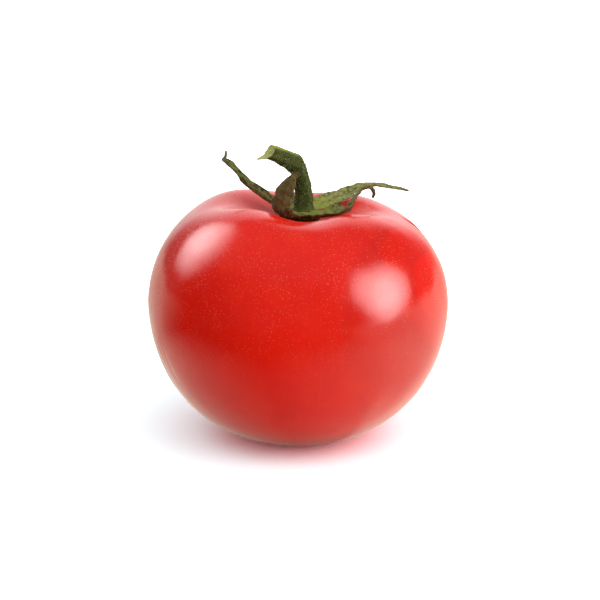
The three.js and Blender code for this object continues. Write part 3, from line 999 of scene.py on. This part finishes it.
def stalk_material():
    material, tree, shader = start_material("stem_skin", STALK_SPECULAR)
    place = in_millimetres(tree)
    mottle = noise(tree, place, STALK_MOTTLE_SCALE, 4.0, 0.65)
    fibres = noise(tree, stretched(tree, place_of(tree, "grain"), FIBRE_STRETCH), 1.0, 3.0, 0.6)
    colour = mix(tree, remap(tree, mottle, 0.36, 0.64), STALK_DARK, STALK_GREEN)
    colour = mix(tree, remap(tree, fibres, 0.52, 0.7, 0, 0.4), colour, STALK_FOOT)
    flecks = noise(tree, place, FLECK_SCALE, 3.0, 0.7)
    flecks = remap(tree, flecks, 0.57, 0.68, 0, FLECK_MOST)
    colour = mix(tree, flecks, colour, STALK_FLECK)
    foot = combine(tree, "MULTIPLY", value_of(tree, "foot"), FOOT_MOST)
    colour = mix(tree, foot, colour, STALK_FOOT)
    # The ridge's colour together with a painted highlight on the stem's top.
    ridge_and_highlight = combine(tree, "MULTIPLY", value_of(tree, "ridge_and_highlight"), remap(tree, mottle, 0.35, 0.6, 0.35, 1))
    colour = mix(tree, ridge_and_highlight, colour, STALK_RIDGE_HIGHLIGHT)
    core = value_of(tree, "core")
    flesh = remap(tree, noise(tree, place, FLESH_SCALE, 4.0, 0.6), 0.4, 0.65)
    flesh = mix(tree, flesh, CUT_FLESH, CUT_GREEN)
    flesh = mix(tree, remap(tree, core, 0.45, 0.9, 0, 0.55), flesh, CUT_BROWN)
    flesh = mix(tree, remap(tree, core, 0.16, 0.02), flesh, CUT_FLESH)
    link(tree, mix(tree, value_of(tree, "cut"), colour, flesh), shader.inputs["Base Color"])
    rough = remap(tree, mottle, 0.3, 0.7, PLANT_ROUGHNESS_LOW, PLANT_ROUGHNESS_HIGH)
    link(tree, rough, shader.inputs["Roughness"])
    lined = raised(tree, fibres, FIBRE_HEIGHT)
    crumb = noise(tree, place, STALK_GRAIN_SCALE, 4.0, 0.7)
    link(tree, raised(tree, crumb, STALK_GRAIN_HEIGHT, lined), shader.inputs["Normal"])
    return material


HAIR_PALE = (0.45, 0.46, 0.26)
HAIR_GREEN = (0.18, 0.2, 0.05)
HAIR_SPECULAR = 0.5
HAIR_ROUGHNESS = 0.5
HAIR_SHADE_SCALE = 1.7


def hair_material():
    material, tree, shader = start_material("plant_hair", HAIR_SPECULAR)
    shade = remap(tree, noise(tree, in_millimetres(tree), HAIR_SHADE_SCALE), 0.35, 0.65)
    link(tree, mix(tree, shade, HAIR_PALE, HAIR_GREEN), shader.inputs["Base Color"])
    shader.inputs["Roughness"].default_value = HAIR_ROUGHNESS
    return material


# Studio

FLOOR_SIZE = 8.0
# The floor's shade for soft light, darker on the left and lighter on the right as a painted pool of bounced
# light, and as the camera sees it near and far.
FLOOR_SHADE_LEFT = 0.45
FLOOR_SHADE_RIGHT = 0.95
FLOOR_SEEN = 1.5
FLOOR_SEEN_FAR = 2
# As the camera sees it, the floor is painted a darker pink close under the object, a painted shadow, then a
# little cool further out to take the red of bounced light out of it, and plain white far off.
FLOOR_SHADOW_TINT = (0.95, 0.5, 0.52)
FLOOR_TINT = (0.88, 1.02, 1.05)
FLOOR_TINT_FAR = (1, 1, 1)
# How bright the skin reflects the floor: far off on the right and behind, and two bright patches close by,
# each as (middle, reach, brightness).
SHINE_RIGHT = 1.3
SHINE_BACK = 0.95
SHINE_PATCHES = (((85, -25, 0), 130, 1.7), ((-50, 5, 0), 90, 1.25))
# Close under the object the floor's glow in reflections drops to this share, a painted shadow.
SHINE_UNDER = 0.3
SHINE_WARMTH = (1, 0.93, 0.78)
# Where these begin and are full: by the direction on the floor, or by the distance in millimetres.
SHINE_RIGHT_RANGE = (0.45, 0.85)
SHINE_BACK_RANGE = (-0.1, 0.6)
SHINE_UNDER_RANGE = (5, 30)
FLOOR_SIDES = (-60, 60)
FLOOR_SEEN_RANGE = (60, 200)
SHADOW_TINT_RANGE = (8, 24)
TINT_FAR_RANGE = (50, 90)
# The soft light on the object, evenly and from above, the right and the front.
FILL_EVEN = 0.41
FILL_ABOVE = 0.49
FILL_RIGHT = 0.34
FILL_FRONT = 0.82
# How bright the skin reflects the studio: the backdrop, the sides behind, the front and overhead.
BACKDROP = 1.3
BACK_SIDES = 0.15
FRONT = 0
OVERHEAD = 0.3
# Where these begin and are full, by the part of the direction that points back, aside or up.
BACKDROP_BACK = (0.35, 0.8)
BACKDROP_ASIDE = (0.62, 0.25)
BACKDROP_UP = (0.95, 0.6)
OVERHEAD_UP = (0.5, 0.95)
BACK_SIDES_BACK = (0, 0.5)


def add_floor():
    half = FLOOR_SIZE / MM / 2
    corners = [(-half, -half, 0), (half, -half, 0), (half, half, 0), (-half, half, 0)]
    material = bpy.data.materials.new("floor")
    material.use_nodes = True
    tree = material.node_tree
    tree.nodes.clear()
    path = add_node(tree, "ShaderNodeLightPath")
    place = in_millimetres(tree)
    away = add_node(tree, "ShaderNodeVectorMath", {0: place}, operation="LENGTH").outputs["Value"]
    outwards = add_node(tree, "ShaderNodeVectorMath", {0: place}, operation="NORMALIZE").outputs[0]
    way = add_node(tree, "ShaderNodeSeparateXYZ", {0: outwards})
    shine = remap(tree, way.outputs["X"], *SHINE_RIGHT_RANGE, 0, SHINE_RIGHT)
    back = remap(tree, way.outputs["Y"], *SHINE_BACK_RANGE, 0, SHINE_BACK)
    shine = combine(tree, "MAXIMUM", shine, back)
    for middle, reach, brightness in SHINE_PATCHES:
        inputs = {0: place, 1: middle}
        apart = add_node(tree, "ShaderNodeVectorMath", inputs, operation="DISTANCE").outputs["Value"]
        shine = combine(tree, "MAXIMUM", shine, remap(tree, apart, reach, 0, 0, brightness))
    # Darker close under the object, a painted shadow in the reflections.
    shine = combine(tree, "MULTIPLY", shine, remap(tree, away, *SHINE_UNDER_RANGE, SHINE_UNDER, 1))
    inputs = {"Color": (*SHINE_WARMTH, 1), "Strength": shine}
    mirrored = add_node(tree, "ShaderNodeEmission", inputs).outputs[0]
    left_to_right = add_node(tree, "ShaderNodeSeparateXYZ", {0: place}).outputs["X"]
    # Lighter on the right, a painted pool of bounced light.
    soft = remap(tree, left_to_right, *FLOOR_SIDES, FLOOR_SHADE_LEFT, FLOOR_SHADE_RIGHT)
    seen = remap(tree, away, *FLOOR_SEEN_RANGE, FLOOR_SEEN, FLOOR_SEEN_FAR)
    # A painted shadow close under the object, a cool cast round it, and white far off.
    shadow_tint = mix(tree, remap(tree, away, *SHADOW_TINT_RANGE), FLOOR_SHADOW_TINT, FLOOR_TINT)
    shadow_tint = mix(tree, remap(tree, away, *TINT_FAR_RANGE), shadow_tint, FLOOR_TINT_FAR)
    seen = add_node(tree, "ShaderNodeVectorMath", {0: shadow_tint, "Scale": seen}, operation="SCALE").outputs[0]
    shade = mix(tree, path.outputs["Is Camera Ray"], soft, seen)
    diffuse = add_node(tree, "ShaderNodeBsdfDiffuse", {"Color": shade}).outputs[0]
    inputs = {0: path.outputs["Is Glossy Ray"], 1: diffuse, 2: mirrored}
    surface = add_node(tree, "ShaderNodeMixShader", inputs)
    output = add_node(tree, "ShaderNodeOutputMaterial")
    tree.links.new(surface.outputs[0], output.inputs["Surface"])
    add_mesh("floor", corners, [(0, 1, 2, 3)], material)


LAMP_DISTANCE = 0.6
# A softbox is brightest in its middle, as discs of these shares of its size on top of each other.
LAMP_DISCS = (0.5, 0.75, 1, 1.25, 1.5)
LAMP_GAP = 0.01
# Each softbox is (name, angle round from the front, height, size in metres, brightness, mirrored).
SOFTBOXES = (
    ("mirrored_left", -117, 37, 0.39, 8.3, True),
    ("mirrored_right", 71, 24, 0.425, 11.5, True),
    ("mirrored_right_low", 68, 5, 0.32, 3, True),
    ("light_left", -117, 37, 0.39, 1.2, False),
    ("light_right", 71, 24, 0.425, 17, False),
)


def add_softbox(name, azimuth, elevation, size, brightness, mirrored):
    """A round softbox that either lights the object or is mirrored in it."""
    for number, disc in enumerate(LAMP_DISCS):
        data = bpy.data.lights.new(f"{name}_{disc}", "AREA")
        data.shape = "DISK"
        data.size = size * disc
        data.energy = brightness / len(LAMP_DISCS) * math.pi * math.pi * (data.size / 2) ** 2
        lamp = bpy.data.objects.new(data.name, data)
        reach = LAMP_DISTANCE + LAMP_GAP * number
        lamp.location = CAMERA_TARGET + reach * from_target(azimuth, elevation)
        look_at(lamp, CAMERA_TARGET)
        lamp.visible_camera = False
        lamp.visible_glossy = mirrored
        lamp.visible_diffuse = not mirrored
        bpy.context.scene.collection.objects.link(lamp)


def background(tree, strength):
    return add_node(tree, "ShaderNodeBackground", {"Color": (1, 1, 1, 1), "Strength": strength}).outputs[0]


def facing(tree, part, brightness):
    """Light that grows with the part of the direction that points to its side."""
    return combine(tree, "MULTIPLY", combine(tree, "MAXIMUM", part, 0.0), brightness)


def add_world():
    world = bpy.data.worlds.new("studio")
    world.use_nodes = True
    bpy.context.scene.world = world
    tree = world.node_tree
    tree.nodes.clear()
    path = add_node(tree, "ShaderNodeLightPath")
    coordinates = add_node(tree, "ShaderNodeTexCoord")
    way = add_node(tree, "ShaderNodeSeparateXYZ", {0: coordinates.outputs["Generated"]})
    x, y, z = way.outputs["X"], way.outputs["Y"], way.outputs["Z"]
    aside = combine(tree, "ABSOLUTE", x, 0.0)
    behind = remap(tree, y, *BACKDROP_BACK)
    behind = combine(tree, "MULTIPLY", behind, remap(tree, aside, *BACKDROP_ASIDE))
    behind = combine(tree, "MULTIPLY", behind, remap(tree, z, *BACKDROP_UP))
    mirrored = combine(tree, "MULTIPLY", behind, BACKDROP)
    overhead = remap(tree, z, *OVERHEAD_UP, FRONT, OVERHEAD)
    mirrored = combine(tree, "MAXIMUM", mirrored, overhead)
    back_sides = remap(tree, y, *BACK_SIDES_BACK, FRONT, BACK_SIDES)
    mirrored = combine(tree, "MAXIMUM", mirrored, back_sides)
    fill = FILL_EVEN
    for part, brightness in ((z, FILL_ABOVE), (x, FILL_RIGHT)):
        fill = combine(tree, "ADD", facing(tree, part, brightness), fill)
    forwards = combine(tree, "MULTIPLY", y, -1.0)
    fill = combine(tree, "ADD", facing(tree, forwards, FILL_FRONT), fill)
    inputs = {0: path.outputs["Is Glossy Ray"], 1: background(tree, fill), 2: background(tree, mirrored)}
    lit = add_node(tree, "ShaderNodeMixShader", inputs)
    inputs = {0: path.outputs["Is Camera Ray"], 1: lit.outputs[0], 2: background(tree, 1.0)}
    shown = add_node(tree, "ShaderNodeMixShader", inputs)
    output = add_node(tree, "ShaderNodeOutputWorld")
    tree.links.new(shown.outputs[0], output.inputs["Surface"])


add_camera()
skin = skin_material()
leaf = leaf_material()
stalk = stalk_material()
hair = hair_material()
make_fruit(skin)
make_disc(leaf)
sepals = [
    make_sepal(number, sepal_name, sepal_rows, leaf)
    for number, (sepal_name, sepal_rows) in enumerate(SEPALS.items(), 1)
]
stem_tube = make_stem(stalk)
sepal_patches = [(blade, SEPAL_HAIRS) for blade in sepals]
grow_hairs("calyx_hairs", sepal_patches, CALYX_HAIR_SEED, hair, "calyx")
grow_hairs("stem_hairs", [(stem_tube, STEM_HAIRS)], STEM_HAIR_SEED, hair, "stem")
add_floor()
for softbox in SOFTBOXES:
    add_softbox(*softbox)
add_world()
bpy.context.scene.view_settings.view_transform = "Standard"
